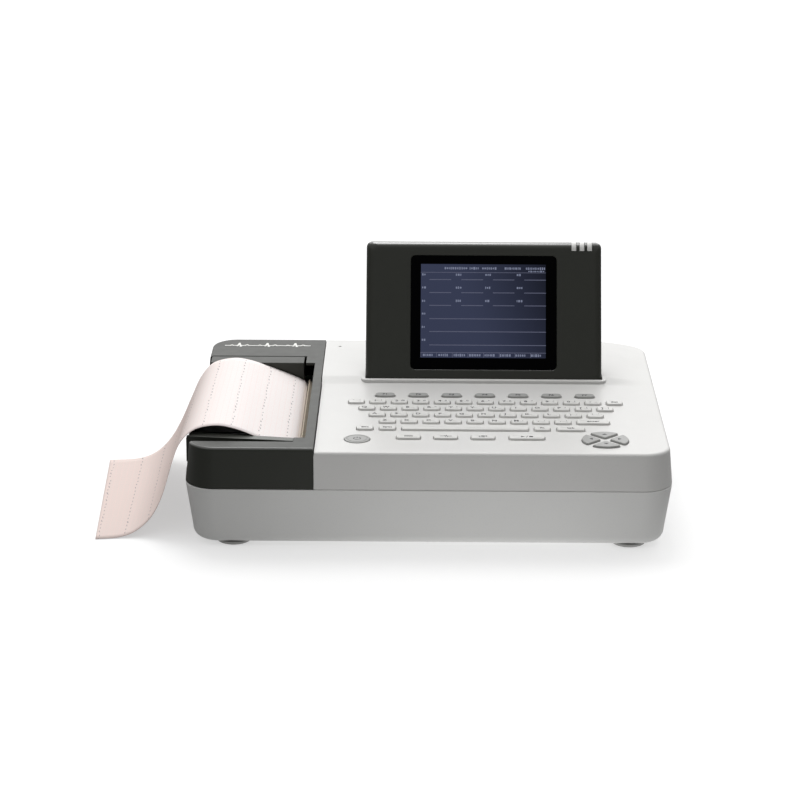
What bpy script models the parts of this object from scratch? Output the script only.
"""Portable twelve-channel electrocardiograph: keyboard deck, tilting display and strip-chart recorder.

Lengths below are millimetres and become metres as each mesh is made. X runs along the front from the
recorder at the left to the arrow pad at the right, Y runs from the front to the back, and Z is up
from the table. Dimensions are taken from the middle of the casing. The machine's empty then moves
everything so that the origin is under the middle of the whole part, its hanging chart included.
"""

import math

import bmesh
import bpy
from mathutils import Vector

MM = 0.001

# Casing
HALF_LENGTH = 210
HALF_DEPTH = 165
FOOT_HEIGHT = 3
DRAFT = 1.7
SEAM_Z = 55
KEY_DECK_Z = 88
DECK_Z = 91.5
WALL = 2.5
GAP = 0.3
CORNER_RADIUS = 25
CAP_RIGHT_X = -99.5
REAR_DECK_Y = 34
RAMP_TOP_X = 163
RAMP_FOOT_X = 204

# Recorder
CHART_WIDTH = 210
CHART_THICKNESS = 0.4
CHART_START_Y = -124.9
CHART_DRIFT_Y = -21.5
CHART_END_X = -302
PLATEN_X = -121.3
PLATEN_Z = 62.5
PLATEN_RADIUS = 6.5
SHAFT_RADIUS = 3
RUNNING_CLEARANCE = 0.08
ROLL_X = -163
ROLL_Z = 34
ROLL_RADIUS = 20
SPINDLE_RADIUS = 6.3
DOOR_RIGHT_X = -118
DOOR_DECK_Z = 70
DOOR_TOP_Z = 91.2
DOOR_FRONT_Y = (-126, -137.4)
CAP_OPENING_Y = -145.3
SLOT_RIGHT_X = -107.7
SLOT_BACK_Y = 85.6
GEAR_MODULE = 0.8
PLATEN_TEETH = 16
IDLER_TEETH = 12
PINION_TEETH = 12
GEAR_Y = (90.5, 95.5)

# Display, in its own frame: the hinge axis is the origin and the face looks along -Y
DISPLAY_X = (-59, 161)
DISPLAY_HEIGHT = 131
DISPLAY_FACE_Y = -3.2
DISPLAY_SPLIT_Y = 8
DISPLAY_BACK_Y = 17.8
DISPLAY_TILT = math.radians(25)
DISPLAY_WALL = 2
HINGE_Y = 41.7
HINGE_Z = 88.3
PIN_RADIUS = 1.5
WINDOW_X = (-17.4, 118.9)
WINDOW_Z = (10.2, 118.1)
LAMPS_X = ((132.7, 137.2), (140.3, 144.7), (147.4, 151.9))
LAMP_FOOT_Z = 123
TOP_EDGE_RADIUS = 5

# Keys
KEY_TOP_Z = 89.8
KEY_WEB_Z = (82.5, 85)
KEY_CLEARANCE = 0.4
KEY_PITCH = 19.5
KEY_WIDTH = 14.5
KEY_DEPTH = 12

WARM_WHITE = (0.85, 0.84, 0.80)
SILVER_GREY = (0.52, 0.52, 0.51)
DARK_GREEN_GREY = (0.09, 0.10, 0.085)
KEY_GREY = (0.36, 0.37, 0.36)
KEY_WHITE = (0.86, 0.86, 0.83)
BLACK = (0.02, 0.02, 0.02)
STEEL = (0.62, 0.62, 0.60)
BOARD_GREEN = (0.03, 0.20, 0.09)
PAPER_PINK = (0.93, 0.82, 0.79)
AMBER = (0.80, 0.62, 0.40)


# ---------------------------------------------------------------- mesh tools


def clear_scene():
    for leftover in list(bpy.data.objects):
        bpy.data.objects.remove(leftover)


def material(name, colour, roughness, metallic):
    made = bpy.data.materials.new(name)
    made.use_nodes = True
    shader = made.node_tree.nodes["Principled BSDF"]
    shader.inputs["Base Color"].default_value = (*colour, 1)
    shader.inputs["Roughness"].default_value = roughness
    shader.inputs["Metallic"].default_value = metallic
    made.diffuse_color = (*colour, 1)
    return made


def empty(name, at, parent=None, tilt=0.0):
    made = bpy.data.objects.new(name, None)
    bpy.context.collection.objects.link(made)
    made.location = Vector(at) * MM
    made.rotation_euler.x = tilt
    made.parent = parent
    return made


def finish(name, bm, parent, colour=BLACK, roughness=0.5, metallic=0.0, at=(0, 0, 0)):
    """An object from a bmesh in millimetres whose points are counted from `at`."""
    bmesh.ops.scale(bm, vec=(MM, MM, MM), verts=bm.verts)
    bmesh.ops.recalc_face_normals(bm, faces=bm.faces)
    mesh = bpy.data.meshes.new(name)
    bm.to_mesh(mesh)
    bm.free()
    mesh.shade_smooth()
    mesh.set_sharp_from_angle(angle=math.radians(32))
    made = bpy.data.objects.new(name, mesh)
    bpy.context.collection.objects.link(made)
    made.location = Vector(at) * MM
    made.parent = parent
    mesh.materials.append(material(name, colour, roughness, metallic))
    return made


def boolean(target, operation, *tools):
    for tool in tools:
        tool.hide_render = True
        tool.display_type = "WIRE"
        modifier = target.modifiers.new(tool.name, "BOOLEAN")
        modifier.operation = operation
        modifier.object = tool


def cut(target, *cutters):
    boolean(target, "DIFFERENCE", *cutters)


def fuse(target, *additions):
    boolean(target, "UNION", *additions)


def loft(bm, rings, closed=False):
    """Joins rings of equally many points, and caps both ends or joins the last ring to the first."""
    rows = [[bm.verts.new(point) for point in ring] for ring in rings]
    pairs = list(zip(rows, rows[1:]))
    if closed:
        pairs.append((rows[-1], rows[0]))
    else:
        bm.faces.new(rows[0])
        bm.faces.new(rows[-1])
    count = len(rows[0])
    for low, high in pairs:
        for i in range(count):
            j = (i + 1) % count
            bm.faces.new((low[i], low[j], high[j], high[i]))


def place(along, first, second, height):
    """A point from two coordinates in a section and one along its axis."""
    if along == "X":
        return (height, first, second)
    if along == "Y":
        return (first, height, second)
    return (first, second, height)


def prism(bm, outline, low, high, along="Z"):
    loft(bm, [[place(along, a, b, height) for a, b in outline] for height in (low, high)])


def box(bm, x, y, z):
    prism(bm, [(x[0], y[0]), (x[1], y[0]), (x[1], y[1]), (x[0], y[1])], z[0], z[1])


def arc(centre, radius, start, end, segments):
    """Points on an arc from one angle to the other, in degrees."""
    angles = [math.radians(start + (end - start) * i / segments) for i in range(segments + 1)]
    return [(centre[0] + radius * math.cos(a), centre[1] + radius * math.sin(a)) for a in angles]


def circle(centre, radius, sides):
    return arc(centre, radius, 0, 360, sides)[:-1]


def rod(bm, centre, radius, low, high, along="Y", sides=24):
    prism(bm, circle(centre, radius, sides), low, high, along)


def tube(bm, centre, inner, outer, low, high, along="Y", sides=24):
    rings = [(outer, low), (outer, high), (inner, high), (inner, low)]
    loft(bm, [[place(along, a, b, height) for a, b in circle(centre, r, sides)] for r, height in rings], True)


def rounded_rectangle(x, y, radii, segments=6):
    """Counter-clockwise outline; radii are those of the corners at low X low Y, then round to low X high Y."""
    corners = [
        (x[0], y[0], 1, 1, 180, radii[0]),
        (x[1], y[0], -1, 1, 270, radii[1]),
        (x[1], y[1], -1, -1, 0, radii[2]),
        (x[0], y[1], 1, -1, 90, radii[3]),
    ]
    outline = []
    for corner_x, corner_y, to_x, to_y, start, radius in corners:
        if radius == 0:
            outline.append((corner_x, corner_y))
            continue
        centre = (corner_x + to_x * radius, corner_y + to_y * radius)
        outline += arc(centre, radius, start, start + 90, segments)
    return outline


def cutter(name, parent, shapes, at=(0, 0, 0)):
    """A tool for a Boolean, made from functions that each add one shape."""
    bm = bmesh.new()
    for shape in shapes:
        shape(bm)
    return finish(name, bm, parent, at=at)


def simple(name, parent, shape, colour, roughness=0.5, metallic=0.0, at=(0, 0, 0)):
    """A one-shape node."""
    bm = bmesh.new()
    shape(bm)
    return finish(name, bm, parent, colour, roughness, metallic, at)


def smooth_path(points, steps):
    """A Catmull-Rom curve through the points, with `steps` pieces between each two."""
    ends = [points[0], *points, points[-1]]
    path = []
    for a, b, c, d in zip(ends, ends[1:], ends[2:], ends[3:]):
        for step in range(steps):
            t = step / steps
            path.append(
                tuple(
                    0.5 * (2 * q + (r - p) * t + (2 * p - 5 * q + 4 * r - s) * t * t + (3 * q - p - 3 * r + s) * t**3)
                    for p, q, r, s in zip(a, b, c, d)
                )
            )
    path.append(points[-1])
    return path


# ---------------------------------------------------------------- casings


def casing_ring(x, inset, height, left_radius, right_radius):
    outline = rounded_rectangle(
        x,
        (-HALF_DEPTH + inset, HALF_DEPTH - inset),
        (left_radius, right_radius, right_radius, left_radius),
    )
    return [(a, b, height) for a, b in outline]


def upper_rings(x, left_radius, right_radius, ceiling):
    """Inverted cup from its inner ceiling, down inside, and up outside to its top face.

    Its sides stand out by DRAFT at the seam and lean in by as much at the deck, but for the straight joint side.
    """

    def ring(inset, height):
        lean = DRAFT * (2 * (height - SEAM_Z) / (DECK_Z - SEAM_Z) - 1)
        left = x[0] + inset + (lean if left_radius else 0)
        right = x[1] - inset - (lean if right_radius else 0)
        radii = [max(radius - inset, 0) for radius in (left_radius, right_radius)]
        return casing_ring((left, right), inset + lean, height, *radii)

    edge = 3
    rings = [ring(WALL, ceiling), ring(WALL, SEAM_Z), ring(0, SEAM_Z)]
    for angle in (0, 30, 60, 90):
        turn = math.radians(angle)
        rings.append(ring(edge * (1 - math.cos(turn)), DECK_Z - edge + edge * math.sin(turn)))
    return rings


def make_upper_casing(machine):
    left = CAP_RIGHT_X + GAP
    key_floor = KEY_DECK_Z - WALL
    bm = bmesh.new()
    loft(bm, upper_rings((left, HALF_LENGTH), 0, CORNER_RADIUS, key_floor))
    casing = finish("upper_casing", bm, machine, WARM_WHITE, 0.4)

    well_x = (DISPLAY_X[0] - 0.5, DISPLAY_X[1] + 0.5)
    well_floor = HINGE_Z - DISPLAY_BACK_Y - 0.5
    well_front = HINGE_Y + DISPLAY_FACE_Y - 0.5
    beyond = HALF_DEPTH + 5

    # The display's well hangs from the deck as a block before it is hollowed.
    well_block = cutter(
        "well_block",
        machine,
        [
            lambda bm: box(
                bm,
                (well_x[0] - WALL, well_x[1] + WALL),
                (well_front - WALL, HALF_DEPTH - 1),
                (well_floor - WALL, DECK_Z - 1),
            )
        ],
    )
    fuse(casing, well_block)

    lowered_deck = cutter(
        "lowered_deck",
        machine,
        [
            lambda bm: box(bm, (left - 5, HALF_LENGTH + 5), (-HALF_DEPTH - 5, REAR_DECK_Y), (KEY_DECK_Z, DECK_Z + 5)),
        ],
    )
    ramp = cutter(
        "ramp",
        machine,
        [
            lambda bm: prism(
                bm,
                [(RAMP_TOP_X, DECK_Z), (RAMP_FOOT_X, KEY_DECK_Z), (240, KEY_DECK_Z), (240, 110), (RAMP_TOP_X, 110)],
                REAR_DECK_Y - 1,
                beyond,
                "Y",
            )
        ],
    )
    well = cutter("well", machine, [lambda bm: box(bm, well_x, (well_front, beyond), (well_floor, DECK_Z + 5))])
    open_side = cutter(
        "open_side",
        machine,
        [lambda bm: box(bm, (left - 5, left + 5), (-HALF_DEPTH + 6, HALF_DEPTH - 6), (SEAM_Z - 5, key_floor - 2))],
    )
    pin_holes = cutter(
        "pin_holes",
        machine,
        [
            lambda bm: rod(bm, (HINGE_Y, HINGE_Z), PIN_RADIUS + GAP, well_x[0] - 9, well_x[0] + 3, "X", 16),
            lambda bm: rod(bm, (HINGE_Y, HINGE_Z), PIN_RADIUS + GAP, well_x[1] - 3, well_x[1] + 9, "X", 16),
        ],
    )
    cut(casing, lowered_deck, ramp, well, open_side, pin_holes, key_holes(machine))
    return casing


def lower_profile(wall):
    """Pairs of inset and height up the side of the lower casing; `wall` is 0 outside and WALL inside."""
    foot = (11.5, FOOT_HEIGHT)
    knee = (4, 13.5)
    points = []
    for angle in (0, 25, 50, 75, 90):
        turn = math.radians(angle)
        inset = foot[0] - (foot[0] - knee[0]) * math.sin(turn)
        height = foot[1] + (knee[1] - foot[1]) * (1 - math.cos(turn))
        points.append((inset + wall, height + wall * math.cos(turn)))
    points.append((wall - DRAFT, SEAM_Z - GAP))
    return points


def make_lower_casing(machine):
    def ring(inset, height):
        radius = CORNER_RADIUS - 0.6 * inset
        return casing_ring((-HALF_LENGTH + inset, HALF_LENGTH - inset), inset, height, radius, radius)

    outside = [ring(*pair) for pair in lower_profile(0)]
    inside = [ring(*pair) for pair in reversed(lower_profile(WALL))]
    bm = bmesh.new()
    loft(bm, outside + inside)
    casing = finish("lower_casing", bm, machine, SILVER_GREY, 0.45)
    sockets = cutter(
        "socket_holes",
        machine,
        [
            lambda bm: box(bm, BATTERY_DOOR_X, BATTERY_DOOR_Y, (FOOT_HEIGHT - 2, FOOT_HEIGHT + WALL + 2)),
            lambda bm: box(bm, INLET_X, (150, 175), INLET_Z),
            lambda bm: box(bm, EARTH_X, (150, 175), EARTH_Z),
            lambda bm: box(bm, (195, 215), PATIENT_Y, PORT_Z),
            lambda bm: box(bm, (195, 215), (USB_Y[0], LAN_Y[1]), PORT_Z),
        ],
    )
    cut(casing, sockets)
    return casing


def make_feet(machine):
    for end, x in (("left", -170), ("right", 175)):
        for side, y in (("front", -143), ("rear", 143)):
            bm = bmesh.new()
            top = FOOT_HEIGHT - GAP
            rings = [(13.5, 0), (15, 1.5), (15, top)]
            loft(bm, [[(a, b, z) for a, b in circle((0, 0), r, 24)] for r, z in rings])
            finish(f"foot_{side}_{end}", bm, machine, SILVER_GREY, 0.7, at=(x, y, 0))


# ---------------------------------------------------------------- recorder


def make_printer_cap(machine):
    bm = bmesh.new()
    loft(bm, upper_rings((-HALF_LENGTH, CAP_RIGHT_X), CORNER_RADIUS, 0, DECK_Z - WALL))
    cap = finish("printer_cap", bm, machine, DARK_GREEN_GREY, 0.5)
    beyond = -HALF_LENGTH - 5
    notch_x = DOOR_RIGHT_X + GAP
    opening = [
        (beyond, CAP_OPENING_Y),
        (notch_x, CAP_OPENING_Y),
        (notch_x, -134),
        (SLOT_RIGHT_X, -134),
        (SLOT_RIGHT_X, SLOT_BACK_Y),
        (notch_x, SLOT_BACK_Y),
        (notch_x, 106.8),
        (beyond, 106.8),
    ]
    door_bay = cutter("door_bay", machine, [lambda bm: prism(bm, opening, 65.5, DECK_Z + 5)])
    open_side = cutter(
        "cap_open_side",
        machine,
        [
            lambda bm: box(
                bm,
                (CAP_RIGHT_X - 6, CAP_RIGHT_X + 6),
                (-HALF_DEPTH + 6, HALF_DEPTH - 6),
                (SEAM_Z - 5, DECK_Z - 9),
            )
        ],
    )
    cut(cap, door_bay, open_side)


def door_front(x):
    """Y of the door's slanting front edge."""
    share = (DOOR_RIGHT_X - x) / (DOOR_RIGHT_X + HALF_LENGTH)
    return DOOR_FRONT_Y[1] + (DOOR_FRONT_Y[0] - DOOR_FRONT_Y[1]) * share


def make_door(door_home):
    left = -HALF_LENGTH
    back = 106.5
    # The end plate stands up only at the front rail, because the chart rolls over the rest of it.
    front = DOOR_FRONT_Y[0]
    end_plate = [(front, 66), (back, 66), (back, 72.5), (-112, 72.5), (-117.8, 89.5), (front, 89.5)]
    bm = bmesh.new()
    deck = [(left, door_front(left)), (DOOR_RIGHT_X, door_front(DOOR_RIGHT_X)), (DOOR_RIGHT_X, back), (left, back)]
    prism(bm, deck, DOOR_DECK_Z, DOOR_DECK_Z + 1.5)
    door = finish("printer_door", bm, door_home, DARK_GREEN_GREY, 0.5)
    # The rail is narrower at the right, where the chart is still below its top.
    front_rail = [
        (left, door_front(left)),
        (DOOR_RIGHT_X, door_front(DOOR_RIGHT_X)),
        (DOOR_RIGHT_X, -129.4),
        (-156, -128.2),
        (-172, -121.5),
        (left, -117.8),
    ]
    hanger_x = (PLATEN_X - 6, PLATEN_X + 3.2)
    hanger_z = (PLATEN_Z - 5, DOOR_DECK_Z + 1)
    pieces = [
        ("door_front_rail", lambda bm: prism(bm, front_rail, DOOR_DECK_Z, 89.5)),
        ("door_back_rail", lambda bm: box(bm, (left, DOOR_RIGHT_X), (86, back), (DOOR_DECK_Z, DOOR_TOP_Z))),
        ("door_end_plate", lambda bm: prism(bm, end_plate, left - 2, left + 1.5, "X")),
        ("door_front_hanger", lambda bm: box(bm, hanger_x, (-131, -129), hanger_z)),
        ("door_back_hanger", lambda bm: box(bm, hanger_x, (87.5, 89.5), hanger_z)),
    ]
    for name, shape in pieces:
        fuse(door, cutter(name, door_home, [shape]))
    bore = SHAFT_RADIUS + RUNNING_CLEARANCE
    cut(door, cutter("platen_bore", door_home, [lambda bm: rod(bm, (PLATEN_X, PLATEN_Z), bore, -140, 100)]))


def gear_outline(teeth, phase):
    """Trapezoid teeth round a circle; `phase` is the first tooth's angle in degrees."""
    pitch_radius = GEAR_MODULE * teeth / 2
    tip = pitch_radius + 0.85 * GEAR_MODULE
    root = pitch_radius - 1.15 * GEAR_MODULE
    step = 360 / teeth
    outline = []
    for tooth in range(teeth):
        middle = phase + tooth * step
        for radius, share in ((root, -0.30), (tip, -0.12), (tip, 0.12), (root, 0.30)):
            angle = math.radians(middle + share * step)
            outline.append((radius * math.cos(angle), radius * math.sin(angle)))
    return outline


def make_gear(name, parent, teeth, phase, at, bore, colour):
    """A gear on a Y axis, with a round bore cut through it."""
    gear = simple(name, parent, lambda bm: prism(bm, gear_outline(teeth, phase), *GEAR_Y, "Y"), colour, 0.4, at=at)
    if bore:
        cut(gear, cutter(name + "_bore", parent, [lambda bm: rod(bm, (0, 0), bore, 85, 100, "Y", 16)], at=at))
    return gear


def make_platen(door_home):
    at = (PLATEN_X, 0, PLATEN_Z)
    centre = (0, 0)
    simple("platen_shaft", door_home, lambda bm: rod(bm, centre, SHAFT_RADIUS, -132, 96.5), STEEL, 0.25, 1, at)
    simple(
        "platen_rubber",
        door_home,
        lambda bm: tube(bm, centre, SHAFT_RADIUS + GAP, PLATEN_RADIUS, -127.5, 86, sides=32),
        BLACK,
        0.8,
        at=at,
    )
    make_gear("platen_gear", door_home, PLATEN_TEETH, 0, at, SHAFT_RADIUS + GAP, KEY_WHITE)


def make_drive(machine):
    idler_x = PLATEN_X + GEAR_MODULE * (PLATEN_TEETH + IDLER_TEETH) / 2
    pinion_z = PLATEN_Z - GEAR_MODULE * (IDLER_TEETH + PINION_TEETH) / 2
    idler_at = (idler_x, 0, PLATEN_Z)
    pinion_at = (idler_x, 0, pinion_z)
    stub = 1.5
    make_gear("idler_gear", machine, IDLER_TEETH, 15, idler_at, stub + RUNNING_CLEARANCE, KEY_WHITE)
    simple("idler_shaft", machine, lambda bm: rod(bm, (0, 0), stub, 89.5, 96.7, sides=16), STEEL, 0.3, 1, idler_at)
    pinion = make_gear("motor_pinion", machine, PINION_TEETH, 0, pinion_at, 0, STEEL)
    fuse(
        pinion,
        cutter("motor_shaft", machine, [lambda bm: rod(bm, (0, 0), 1.2, 93, 100.2, sides=16)], at=pinion_at),
    )
    plate_y = (97, 98.5)
    plate = simple(
        "drive_plate",
        machine,
        lambda bm: box(bm, (idler_x - 15, idler_x + 15), plate_y, (36, DOOR_DECK_Z - 1)),
        STEEL,
        0.4,
        1,
    )
    cut(
        plate,
        cutter(
            "drive_plate_hole",
            machine,
            [lambda bm: rod(bm, (idler_x, pinion_z), 4, 90, 104, sides=16)],
        ),
    )
    motor = simple(
        "stepper_motor",
        machine,
        lambda bm: rod(bm, (idler_x, pinion_z), 13, 98.8, 119, sides=24),
        STEEL,
        0.35,
        1,
    )
    cut(
        motor,
        cutter("motor_bearing", machine, [lambda bm: rod(bm, (idler_x, pinion_z), 2, 90, 101, sides=16)]),
    )


def make_head(machine):
    face = PLATEN_X + PLATEN_RADIUS + 2 * GAP + CHART_THICKNESS
    span = (-127.5, 86)
    back = face + 2
    simple("thermal_head", machine, lambda bm: box(bm, (face, back), span, (57, 68)), AMBER, 0.3)
    upright = back + GAP
    section = [
        (upright, 46.5),
        (-100, 46.5),
        (-100, 62),
        (-101.5, 62),
        (-101.5, 48),
        (upright + 1.5, 48),
        (upright + 1.5, 68),
        (upright, 68),
    ]
    simple("head_bracket", machine, lambda bm: prism(bm, section, *span, "Y"), STEEL, 0.4, 1)
    tear_bar = [(face, 68.3), (face + 4, 68.3), (face + 4, 70), (face + 1, 74.5), (face + 0.4, 74.5)]
    simple("tear_bar", machine, lambda bm: prism(bm, tear_bar, *span, "Y"), STEEL, 0.3, 1)
    make_spring(machine, (upright + 1.5 + GAP, -101.5 - GAP))


def make_spring(machine, span):
    """A compression spring between the bracket's two uprights."""
    turns, per_turn, wire, coil = 4, 14, 0.6, 3
    count = turns * per_turn
    start, end = span[0] + wire, span[1] - wire
    rings = []
    for step in range(count + 1):
        angle = math.tau * step / per_turn
        outward = Vector((0, math.cos(angle), math.sin(angle)))
        centre = Vector((start + (end - start) * step / count, 0, 0)) + coil * outward
        ring = [math.tau * side / 6 for side in range(6)]
        rings.append([centre + wire * (math.cos(a) * outward + math.sin(a) * Vector((1, 0, 0))) for a in ring])
    bm = bmesh.new()
    loft(bm, rings)
    finish("head_spring", bm, machine, STEEL, 0.3, 1, at=(0, -20.5, 56))


def make_roll(machine):
    at = (ROLL_X, 0, ROLL_Z)
    start = CHART_START_Y
    end = CHART_START_Y + CHART_WIDTH
    bm = bmesh.new()
    rings = [(3, -132.5), (3, -129), (SPINDLE_RADIUS, -129), (SPINDLE_RADIUS, 88), (3, 88), (3, 91.5)]
    loft(bm, [[(a, y, b) for a, b in circle((0, 0), r, 24)] for r, y in rings])
    finish("roll_spindle", bm, machine, KEY_GREY, 0.5, at=at)
    simple(
        "paper_roll",
        machine,
        lambda bm: tube(bm, (0, 0), SPINDLE_RADIUS + GAP, ROLL_RADIUS, start, end, sides=32),
        PAPER_PINK,
        0.9,
        at=at,
    )


def make_tub(machine):
    wall = 1.5
    outer_x, outer_y = (-189.5, -136), (-135, 94)
    bm = bmesh.new()
    box(bm, outer_x, outer_y, (11, 53))
    tub = finish("paper_tub", bm, machine, BLACK, 0.6)
    hollow_x = (outer_x[0] + wall, outer_x[1] - wall)
    hollow_y = (outer_y[0] + wall, outer_y[1] - wall)
    slot = SHAFT_RADIUS + RUNNING_CLEARANCE
    cut(
        tub,
        cutter("tub_hollow", machine, [lambda bm: box(bm, hollow_x, hollow_y, (11 + wall, 60))]),
        cutter(
            "spindle_slots",
            machine,
            [lambda bm: box(bm, (ROLL_X - slot, ROLL_X + slot), (-140, 100), (ROLL_Z - slot, 60))],
        ),
    )


def chart_edges(steps):
    """The front and back edges of the chart, from the print line to its free end on the table."""
    drop = [(-114.5, 60), (-114.6, 66), (-115.7, 71), (-122, 76.5)]
    front = [*drop, (-150, 89.3), (-170, 97.6), (-187, 100.6), (-205, 96.5), (-217.5, 84.5)]
    front += [(-225, 66), (-233, 39), (-243, 19), (-257, 6.2), (-272, 1.2), (-291.5, 0.5)]
    back = [*drop, (-150, 88.3), (-170, 95.7), (-186, 97.8), (-204, 93.3), (-215.5, 80.5)]
    back += [(-224, 62), (-235, 37), (-246, 19), (-260, 6.4), (-277, 1.2), (CHART_END_X, 0.5)]
    edges = []
    straight = steps * (len(drop) - 1)
    for points, start in ((front, CHART_START_Y), (back, CHART_START_Y + CHART_WIDTH)):
        path = smooth_path(points, steps)
        free = len(path) - 1 - straight
        drifts = [CHART_DRIFT_Y * max(i - straight, 0) / free for i in range(len(path))]
        edges.append([Vector((x, start + drift, z)) for (x, z), drift in zip(path, drifts)])
    return edges


def make_chart(door_home):
    front, back = chart_edges(3)
    rings = []
    for i in range(len(front)):
        before, after = max(i - 1, 0), min(i + 1, len(front) - 1)
        corners = []
        for edge, sides in ((front, (1, 0)), (back, (0, 1))):
            along = (edge[after] - edge[before]).normalized()
            normal = Vector((-along.z, 0, along.x)).normalized() * -CHART_THICKNESS
            corners += [edge[i] + normal * side for side in sides]
        rings.append(corners)
    bm = bmesh.new()
    loft(bm, rings)
    finish("chart_paper", bm, door_home, PAPER_PINK, 0.85)


# ---------------------------------------------------------------- display


def display_outline(inset):
    """Outline of the display seen from its front, smaller by `inset` all round."""
    x = (DISPLAY_X[0] + inset, DISPLAY_X[1] - inset)
    z = (DISPLAY_FACE_Y + inset, DISPLAY_HEIGHT - inset)
    radii = [max(r - inset, 0.5) for r in (3.2, 3.2, 6, 6)]
    return rounded_rectangle(x, z, radii, 5)


def display_shell(name, hinge, face_y, rim_y, edge):
    """A cup whose rounded floor is at face_y and whose open rim is at rim_y."""
    way = 1 if rim_y > face_y else -1

    def ring(inset, y):
        return [(a, y, b) for a, b in display_outline(inset)]

    floor = face_y + way * DISPLAY_WALL
    rings = [ring(DISPLAY_WALL, floor), ring(DISPLAY_WALL, rim_y), ring(0, rim_y)]
    for angle in (0, 30, 60, 90):
        turn = math.radians(angle)
        inset = edge * (1 - math.cos(turn))
        rings.append(ring(inset, face_y + way * edge * (1 - math.sin(turn))))
    bm = bmesh.new()
    loft(bm, rings)
    return finish(name, bm, hinge, DARK_GREEN_GREY, 0.5)


def lamp_section():
    """Section of one indicator bar, which wraps the top front edge of the bezel."""
    centre = (DISPLAY_FACE_Y + TOP_EDGE_RADIUS, DISPLAY_HEIGHT - TOP_EDGE_RADIUS)
    outer = arc(centre, TOP_EDGE_RADIUS, 180, 90, 5)
    inner = arc(centre, TOP_EDGE_RADIUS - DISPLAY_WALL, 90, 180, 5)
    web_y = DISPLAY_FACE_Y + DISPLAY_WALL + 1
    return [(DISPLAY_FACE_Y, LAMP_FOOT_Z), *outer, *inner, (web_y, centre[1]), (web_y, LAMP_FOOT_Z)]


def make_display(hinge):
    bezel = display_shell("display_bezel", hinge, DISPLAY_FACE_Y, DISPLAY_SPLIT_Y, 2.8)
    cuts = [lambda bm: box(bm, WINDOW_X, (-8, 4), WINDOW_Z)]
    for low, high in LAMPS_X:
        bars_x = (low - GAP, high + GAP)
        reach = (-8, DISPLAY_FACE_Y + TOP_EDGE_RADIUS + GAP)
        cuts.append(
            lambda bm, x=bars_x, y=reach: box(bm, x, y, (LAMP_FOOT_Z - GAP, DISPLAY_HEIGHT + 5))
        )
    pin_bore = PIN_RADIUS + RUNNING_CLEARANCE
    cuts.append(lambda bm: rod(bm, (0, 0), pin_bore, DISPLAY_X[0] - 5, DISPLAY_X[0] + 8, "X", 16))
    cuts.append(lambda bm: rod(bm, (0, 0), pin_bore, DISPLAY_X[1] - 8, DISPLAY_X[1] + 5, "X", 16))
    cut(bezel, cutter("bezel_cuts", hinge, cuts))

    display_shell("display_rear_cover", hinge, DISPLAY_BACK_Y, DISPLAY_SPLIT_Y + GAP, 4)

    window = [(WINDOW_X[0] + GAP, WINDOW_X[1] - GAP), (WINDOW_Z[0] + GAP, WINDOW_Z[1] - GAP)]
    pane = rounded_rectangle(*window, (4, 4, 4, 4), 4)
    simple("display_window", hinge, lambda bm: prism(bm, pane, -3, -1.4, "Y"), BLACK, 0.08)
    module_x, module_z = (-16, 116), (13, 114)
    simple("lcd_module", hinge, lambda bm: box(bm, module_x, (-1, 6), module_z), BLACK, 0.4)

    lamps_web = (LAMPS_X[0][0], LAMPS_X[-1][1])
    web_y = (DISPLAY_FACE_Y + DISPLAY_WALL + GAP, DISPLAY_FACE_Y + DISPLAY_WALL + 1.4)
    web_z = (LAMP_FOOT_Z, DISPLAY_HEIGHT - TOP_EDGE_RADIUS)
    lamps = simple("indicator_lights", hinge, lambda bm: box(bm, lamps_web, web_y, web_z), KEY_WHITE, 0.3)
    for number, (low, high) in enumerate(LAMPS_X):
        bar = cutter(f"lamp_bar_{number}", hinge, [lambda bm: prism(bm, lamp_section(), low, high, "X")])
        fuse(lamps, bar)


def make_hinge_pins(machine):
    for side, inner_x, outward in (("left", DISPLAY_X[0], -1), ("right", DISPLAY_X[1], 1)):
        ends = sorted((inner_x - 4 * outward, inner_x + 8 * outward))
        simple(
            f"hinge_pin_{side}",
            machine,
            lambda bm: rod(bm, (0, 0), PIN_RADIUS, ends[0], ends[1], "X", 16),
            STEEL,
            0.25,
            1,
            (0, HINGE_Y, HINGE_Z),
        )


# ---------------------------------------------------------------- keys


def key_run(first, count, pitch=KEY_PITCH, width=KEY_WIDTH):
    return [(first + i * pitch, first + i * pitch + width) for i in range(count)]


# Name of each key strip: X ranges of its caps, and the Y of their front edge and their depth.
KEY_STRIPS = {
    "function_keys": (key_run(-49.1, 7, 30.4, 18.3), -8.2, 9.5),
    "number_keys": (key_run(-73, 13), -28.8, KEY_DEPTH),
    "letter_keys_top": (key_run(-63.1, 12), -47.4, KEY_DEPTH),
    "letter_keys_middle": (key_run(-53.5, 11), -66, KEY_DEPTH),
    "letter_keys_bottom": ([*key_run(-44.2, 9), (131.4, 160.5)], -84.8, KEY_DEPTH),
    "escape_keys": ([(-63.8, -49.2), (-43.9, -29.3)], -103.8, KEY_DEPTH),
    "space_bar": ([(-24, 88)], -103.8, KEY_DEPTH),
    "edit_keys": ([(92.8, 107), (112.7, 137.3)], -103.8, KEY_DEPTH),
    "mode_key": ([(-28.5, -7.3)], -128, KEY_DEPTH),
    "lead_key": ([(4.2, 25.1)], -128, KEY_DEPTH),
    "copy_key": ([(36.7, 57.6)], -128, KEY_DEPTH),
    "start_key": ([(69.9, 101.2)], -128, KEY_DEPTH),
}
POWER_KEY = (-62.7, -126.9)
POWER_RADIUS = 11.2
POWER_TOP_Z = 88.7
ARROW_PAD = (153.6, -127.3)
ARROW_RADIUS = 20.5
ARROWS = {"arrow_right": 0, "arrow_up": 90, "arrow_left": 180, "arrow_down": 270}


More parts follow.
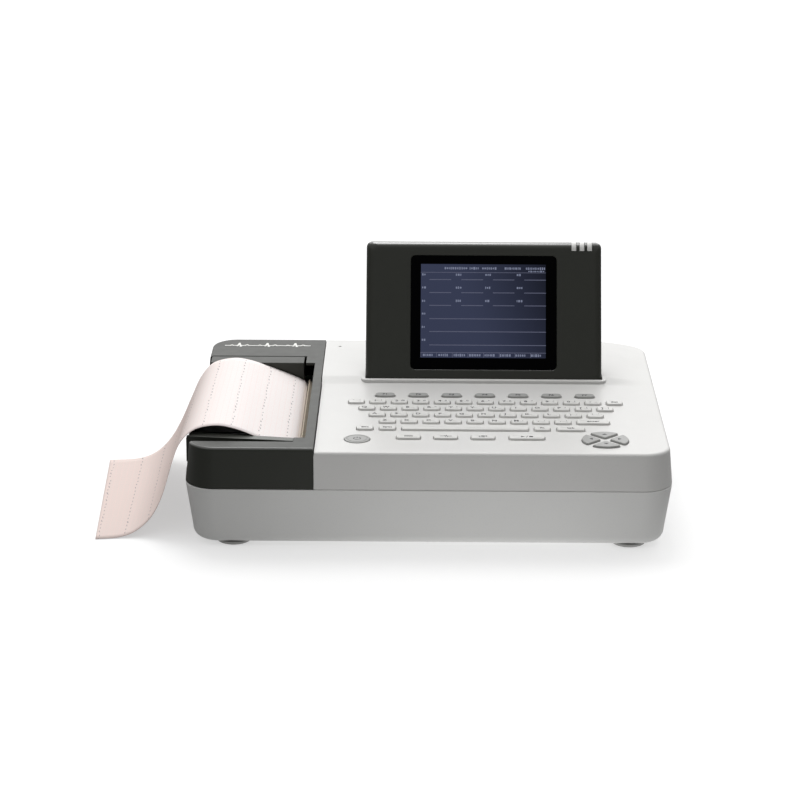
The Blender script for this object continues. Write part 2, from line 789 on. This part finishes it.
def key_holes(machine):
    shapes = []
    through = (KEY_WEB_Z[0] - 4, DECK_Z + 4)
    for caps, front, depth in KEY_STRIPS.values():
        for low, high in caps:
            x = (low - KEY_CLEARANCE, high + KEY_CLEARANCE)
            y = (front - KEY_CLEARANCE, front + depth + KEY_CLEARANCE)
            shapes.append(lambda bm, x=x, y=y: box(bm, x, y, through))
    for centre, radius in ((POWER_KEY, POWER_RADIUS), (ARROW_PAD, ARROW_RADIUS)):
        shapes.append(lambda bm, c=centre, r=radius: rod(bm, c, r + KEY_CLEARANCE, *through, "Z", 32))
    return cutter("key_holes", machine, shapes)


def make_key_strips(machine):
    """Each strip is a comb: caps that stand up through the deck on a web that stays under it."""
    taper = 0.6
    for name, (caps, front, depth) in KEY_STRIPS.items():
        left = caps[0][0] - 1.5
        right = caps[-1][1] + 1.5
        section = [(left, KEY_WEB_Z[0]), (left, KEY_WEB_Z[1])]
        for low, high in caps:
            section += [(low, KEY_WEB_Z[1]), (low + taper, KEY_TOP_Z), (high - taper, KEY_TOP_Z), (high, KEY_WEB_Z[1])]
        section += [(right, KEY_WEB_Z[1]), (right, KEY_WEB_Z[0])]
        middle = (left + right) / 2
        shifted = [(x - middle, z) for x, z in section]
        grey = name in ("function_keys", "escape_keys")
        colour = KEY_GREY if grey else KEY_WHITE
        simple(
            name,
            machine,
            lambda bm: prism(bm, shifted, -depth / 2, depth / 2, "Y"),
            colour,
            0.45,
            at=(middle, front + depth / 2, 0),
        )


def make_power_key(machine):
    bm = bmesh.new()
    rings = [
        (POWER_RADIUS + 1.5, KEY_WEB_Z[0]),
        (POWER_RADIUS + 1.5, KEY_WEB_Z[1]),
        (POWER_RADIUS, KEY_WEB_Z[1]),
        (POWER_RADIUS, POWER_TOP_Z - 0.4),
        (POWER_RADIUS - 0.6, POWER_TOP_Z),
    ]
    loft(bm, [[(a, b, z) for a, b in circle((0, 0), r, 32)] for r, z in rings])
    finish("power_key", bm, machine, KEY_GREY, 0.45, at=(*POWER_KEY, 0))


def make_arrow_keys(machine):
    """Four quarter discs, parted along the diagonals."""
    half_gap = 0.7
    inner = 5
    spread = math.degrees(math.asin(half_gap / ARROW_RADIUS))
    for name, facing in ARROWS.items():
        outline = arc((0, 0), ARROW_RADIUS, facing - 45 + spread, facing + 45 - spread, 8)
        inner_spread = math.degrees(math.asin(half_gap / inner))
        outline += arc((0, 0), inner, facing + 45 - inner_spread, facing - 45 + inner_spread, 3)
        simple(
            name,
            machine,
            lambda bm: prism(bm, outline, KEY_WEB_Z[0], KEY_TOP_Z),
            KEY_GREY,
            0.45,
            at=(*ARROW_PAD, 0),
        )


# ---------------------------------------------------------------- inside and sockets

BATTERY_DOOR_X = (20, 140)
BATTERY_DOOR_Y = (-60, 20)
PORT_Z = (26, 42)
INLET_X = (104, 136)
INLET_Z = (20, 45)
EARTH_X = (76, 88)
EARTH_Z = (26, 38)
PATIENT_Y = (-105, -62)
USB_Y = (-13, 5)
LAN_Y = (5, 24)


def shrink(span, amount=GAP):
    return (span[0] + amount, span[1] - amount)


def make_inside(machine):
    simple(
        "battery_door",
        machine,
        lambda bm: box(bm, shrink(BATTERY_DOOR_X), shrink(BATTERY_DOOR_Y), (FOOT_HEIGHT, FOOT_HEIGHT + WALL)),
        SILVER_GREY,
        0.5,
    )
    boxes = {
        "battery_pack": ((25, 135), (-55, 15), (6.5, 32), (0.05, 0.09, 0.22), 0.5),
        "power_supply": ((62, 178), (50, 128), (7, 40), (0.55, 0.56, 0.55), 0.4),
        "main_board": ((-88, 192), (-120, 44), (49, 50.6), BOARD_GREEN, 0.5),
        "keypad_board": ((-80, 185), (-147, 8), (79.2, 80.8), BOARD_GREEN, 0.5),
    }
    for name, (x, y, z, colour, roughness) in boxes.items():
        simple(name, machine, lambda bm: box(bm, x, y, z), colour, roughness)
    bm = bmesh.new()
    rings = [(20, 7), (20, 10), (12, 12), (12, 20)]
    loft(bm, [[(a, b, z) for a, b in circle((0, 0), r, 24)] for r, z in rings])
    finish("speaker", bm, machine, BLACK, 0.6, at=(-60, 100, 0))


def make_sockets(machine):
    inlet = simple(
        "mains_inlet",
        machine,
        lambda bm: box(bm, shrink(INLET_X), (136, 159), shrink(INLET_Z)),
        BLACK,
        0.5,
    )
    socket_x, socket_z = shrink(INLET_X, 4), shrink(INLET_Z, 4)
    cut(inlet, cutter("inlet_socket", machine, [lambda bm: box(bm, socket_x, (142, 170), socket_z)]))

    earth_x, earth_z = sum(EARTH_X) / 2, sum(EARTH_Z) / 2
    bm = bmesh.new()
    rings = [(5, 148), (5, 157), (3, 157), (3, 162)]
    loft(bm, [[(a, y, b) for a, b in circle((0, 0), r, 20)] for r, y in rings])
    finish("earth_terminal", bm, machine, (0.75, 0.66, 0.35), 0.3, 1, at=(earth_x, 0, earth_z))

    lan = simple("lan_port", machine, lambda bm: box(bm, (186, 204), shrink(LAN_Y), shrink(PORT_Z)), STEEL, 0.3, 1)
    hole_y, hole_z = shrink(LAN_Y, 3), shrink(PORT_Z, 3)
    cut(lan, cutter("lan_socket", machine, [lambda bm: box(bm, (190, 215), hole_y, hole_z)]))

    usb = simple("usb_port", machine, lambda bm: box(bm, (188, 204), shrink(USB_Y), shrink(PORT_Z)), STEEL, 0.3, 1)
    usb_y, usb_z = shrink(USB_Y, 2.5), (31.5, 36.5)
    cut(usb, cutter("usb_socket", machine, [lambda bm: box(bm, (192, 215), usb_y, usb_z)]))

    plug_y, plug_z = shrink(PATIENT_Y, 9), shrink(PORT_Z, 3.5)
    patient = simple(
        "patient_connector",
        machine,
        lambda bm: box(bm, (188, 202.5), shrink(PATIENT_Y), shrink(PORT_Z)),
        STEEL,
        0.3,
        1,
    )
    fuse(patient, cutter("patient_shell", machine, [lambda bm: box(bm, (200, 206.5), plug_y, plug_z)]))


# ---------------------------------------------------------------- assembly


def main():
    clear_scene()
    machine = empty("machine", (-(CHART_END_X + HALF_LENGTH + DRAFT) / 2, 0, 0))
    door_home = empty("door_home", (0, 0, 0), machine)
    hinge = empty("display_hinge", (0, HINGE_Y, HINGE_Z), machine, -DISPLAY_TILT)
    make_upper_casing(machine)
    make_lower_casing(machine)
    make_feet(machine)
    make_printer_cap(machine)
    make_door(door_home)
    make_platen(door_home)
    make_chart(door_home)
    make_drive(machine)
    make_head(machine)
    make_roll(machine)
    make_tub(machine)
    make_display(hinge)
    make_hinge_pins(machine)
    make_key_strips(machine)
    make_power_key(machine)
    make_arrow_keys(machine)
    make_inside(machine)
    make_sockets(machine)


main()
